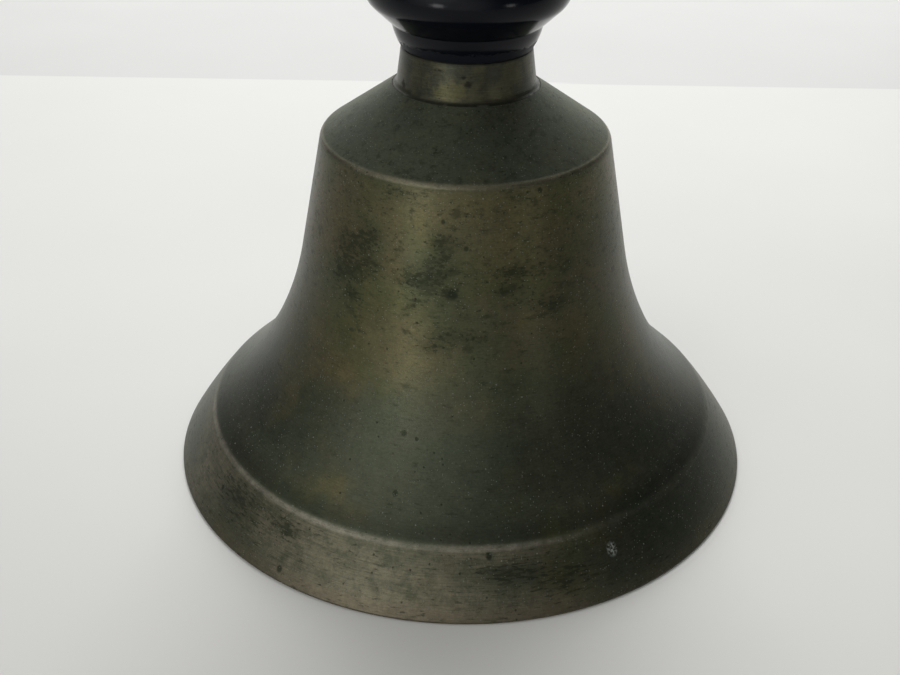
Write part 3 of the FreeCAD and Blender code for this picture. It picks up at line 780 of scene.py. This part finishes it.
def cast_iron():
    f = Finish("cast_iron", {"Metallic": 0.8, "Specular IOR Level": 0.5})
    iron = (0.070, 0.066, 0.062, 1)
    bright = (0.36, 0.35, 0.33, 1)
    rust = (0.120, 0.046, 0.020, 1)
    sand = f.noise(0.8, detail=4, roughness=0.7)
    clouds = f.noise(5, detail=6, roughness=0.66)
    colour = f.blend(f.step(clouds, 0.50, 0.62), iron, rust)
    waist = f.maths("MULTIPLY", f.step(f.level, 11.0, 14.0), f.step(f.level, 20.0, 17.0))
    struck = f.maths("MULTIPLY", waist, f.step(f.noise(3, detail=5), 0.38, 0.56))
    colour = f.blend(struck, f.shade(colour, f.spread(sand, 0.6, 1.4)), bright)
    rough = f.maths("SUBTRACT", f.spread(sand, 0.48, 0.68), f.maths("MULTIPLY", struck, 0.24))
    f.wear(colour, rough, f.bump(sand, 0.08))
    return f.material


ball = turned("clapper_ball_casting", BALL_OUTLINE, 96, spacing=0.8)
ball.data.materials.append(cast_iron())
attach(ball, "clapper")
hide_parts("clapper_ball")
refinish("clapper_shank", FORGED)


# ---------------------------------------------------------------------------
# The stage: a plain pale laminate table top with a faint seam far behind the bell, one large
# soft lamp above and behind it, and a white room whose soft patches of light the bronze and
# the lacquer mirror.
# ---------------------------------------------------------------------------

TABLE_FRONT = -0.60
TABLE_REACH = 6.0
TABLE_SEAM = 0.2755


def pale_laminate():
    f = Finish("pale_laminate", {"Metallic": 0.0, "Specular IOR Level": 0.3})
    back = f.add("ShaderNodeSeparateXYZ", {0: f.place}).outputs["Y"]
    front_painted_shade = (0.64, 0.635, 0.605, 1)
    near_bell = (0.81, 0.81, 0.78, 1)
    past_seam = (0.71, 0.71, 0.69, 1)
    seam_edge = (0.82, 0.82, 0.80, 1)
    tone = f.noise(180, detail=3)
    # Painted shade: the table top darkens towards the front, away from the lamp behind the bell.
    colour = f.blend(f.step(back, -0.25, 0.06), front_painted_shade, near_bell)
    seam = f.step(back, TABLE_SEAM, TABLE_SEAM + 0.0007)
    seam = f.maths("MULTIPLY", seam, f.step(back, TABLE_SEAM + 0.0035, TABLE_SEAM + 0.0017))
    colour = f.blend(f.step(back, TABLE_SEAM, TABLE_SEAM + 0.0010), colour, past_seam)
    colour = f.blend(f.maths("MULTIPLY", seam, f.step(tone, 0.5, 0.6)), colour, seam_edge)
    colour = f.shade(colour, f.spread(tone, 0.96, 1.04))
    f.wear(colour, f.spread(f.noise(60, detail=4), 0.40, 0.55))
    return f.material


table_shape = bmesh.new()
bmesh.ops.create_grid(table_shape, x_segments=1, y_segments=1, size=TABLE_REACH)
bmesh.ops.translate(table_shape, vec=(0, TABLE_REACH + TABLE_FRONT, 0), verts=table_shape.verts)
table = as_object("table_top", table_shape)
table.data.materials.append(pale_laminate())


def area_light(name, place, aim, width, height, power):
    """A soft oblong lamp that faces the point it is aimed at and isn't itself seen."""
    lamp = bpy.data.lights.new(name, "AREA")
    lamp.shape = "RECTANGLE"
    lamp.size = width
    lamp.size_y = height
    lamp.energy = power
    holder = bpy.data.objects.new(name, lamp)
    bpy.context.scene.collection.objects.link(holder)
    holder.location = place
    holder.rotation_euler = (Vector(aim) - Vector(place)).to_track_quat("-Z", "Y").to_euler()
    holder.visible_camera = False


area_light("soft_overhead", (0.05, 1.0, 0.95), (0.02, 0.1, 0), 1.0, 0.7, 8)

# The room: each soft patch of light is (turn from the front, rise, narrow and wide angles,
# strength), in degrees. Rays from the camera see one plain pale tone instead.
ROOM_GLOW = 0.10
ROOM_TONE = (0.78, 0.78, 0.75, 1)
ROOM_LIGHTS = (
    (180, 24, 22, 44, 1.45),
    (-24, 4, 10, 62, 0.72),
    (-40, 34, 2, 34, 0.55),
    (-82, 38, 4, 34, 0.42),
    (-32, 0, 3, 8, 6.00),
    (46, 0, 3, 6, 3.60),
    (160, 80, 10, 55, 0.36),
)

world = bpy.data.worlds.new("white_room")
world.use_nodes = True
bpy.context.scene.world = world


def room_light(tree):
    """Adds up the soft patches of light that surround the table."""
    facing = add_node(tree, "ShaderNodeTexCoord").outputs["Generated"]
    total = ROOM_GLOW
    for turn, rise, narrow, wide, strength in ROOM_LIGHTS:
        turn, rise = math.radians(turn), math.radians(rise)
        towards = (math.sin(turn) * math.cos(rise), -math.cos(turn) * math.cos(rise), math.sin(rise))
        near = add_node(tree, "ShaderNodeVectorMath", {0: facing, 1: towards}, operation="DOT_PRODUCT")
        reach = {
            "Value": near.outputs["Value"],
            "From Min": math.cos(math.radians(wide)),
            "From Max": math.cos(math.radians(narrow)),
        }
        patch = add_node(tree, "ShaderNodeMapRange", reach, interpolation_type="SMOOTHSTEP")
        sum_up = {0: patch.outputs[0], 1: strength, 2: total}
        total = add_node(tree, "ShaderNodeMath", sum_up, operation="MULTIPLY_ADD").outputs[0]
    seen = add_node(tree, "ShaderNodeLightPath").outputs["Is Camera Ray"]
    lit = add_node(tree, "ShaderNodeCombineXYZ", {"X": total, "Y": total, "Z": total}).outputs[0]
    choose = {"Factor": seen, 6: lit, 7: ROOM_TONE}
    tone = add_node(tree, "ShaderNodeMix", choose, data_type="RGBA").outputs[2]
    connect(tree, tree.nodes["Background"].inputs["Color"], tone)


room_light(world.node_tree)
bpy.context.scene.view_settings.view_transform = "Standard"

CAMERA_PLACE = (0.0, -0.2430, 0.1728)
CAMERA_YAW = math.radians(-0.69)
CAMERA_PITCH = math.radians(-30.93)
CAMERA_ROLL = math.radians(0.66)
lens = bpy.data.cameras.new("camera")
lens.lens = 46.0
lens.sensor_width = 36.0
lens.clip_start = 0.01
camera = bpy.data.objects.new("camera", lens)
bpy.context.scene.collection.objects.link(camera)
camera.matrix_world = (
    Matrix.Translation(CAMERA_PLACE)
    @ Matrix.Rotation(-CAMERA_YAW, 4, "Z")
    @ Matrix.Rotation(math.pi / 2 + CAMERA_PITCH, 4, "X")
    @ Matrix.Rotation(CAMERA_ROLL, 4, "Z")
)
bpy.context.scene.camera = camera
